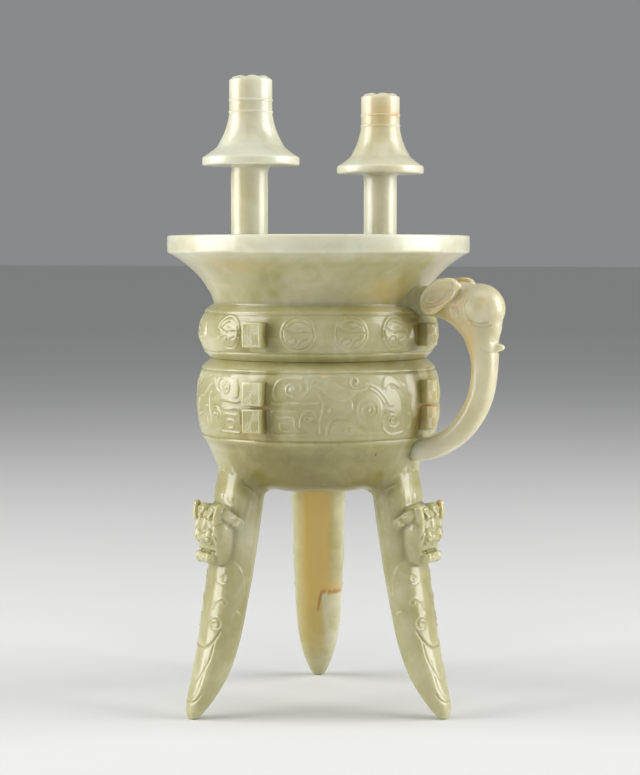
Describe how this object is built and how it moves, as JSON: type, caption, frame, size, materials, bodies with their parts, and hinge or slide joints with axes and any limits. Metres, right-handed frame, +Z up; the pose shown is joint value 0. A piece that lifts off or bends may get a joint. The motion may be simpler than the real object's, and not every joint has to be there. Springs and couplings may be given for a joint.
{
  "type": "jade jia vessel",
  "caption": "Carved pale jade jia: flared hollow cup on splayed legs, capped posts on the lip, an elephant-head handle and banded relief.",
  "frame": {"origin": "middle of the footprint of the whole vessel, on the plane that the feet rest on", "axes": "+Z up along the cup's axis, +X towards the handle, the posts stand towards +Y and -Y"},
  "size_m": [0.1146, 0.1132, 0.2],
  "materials": {
    "jade": "polished celadon nephrite with russet veins"
  },
  "bodies": {
    "root": {"jia_vessel": "jade"}
  },
  "joints": []
}
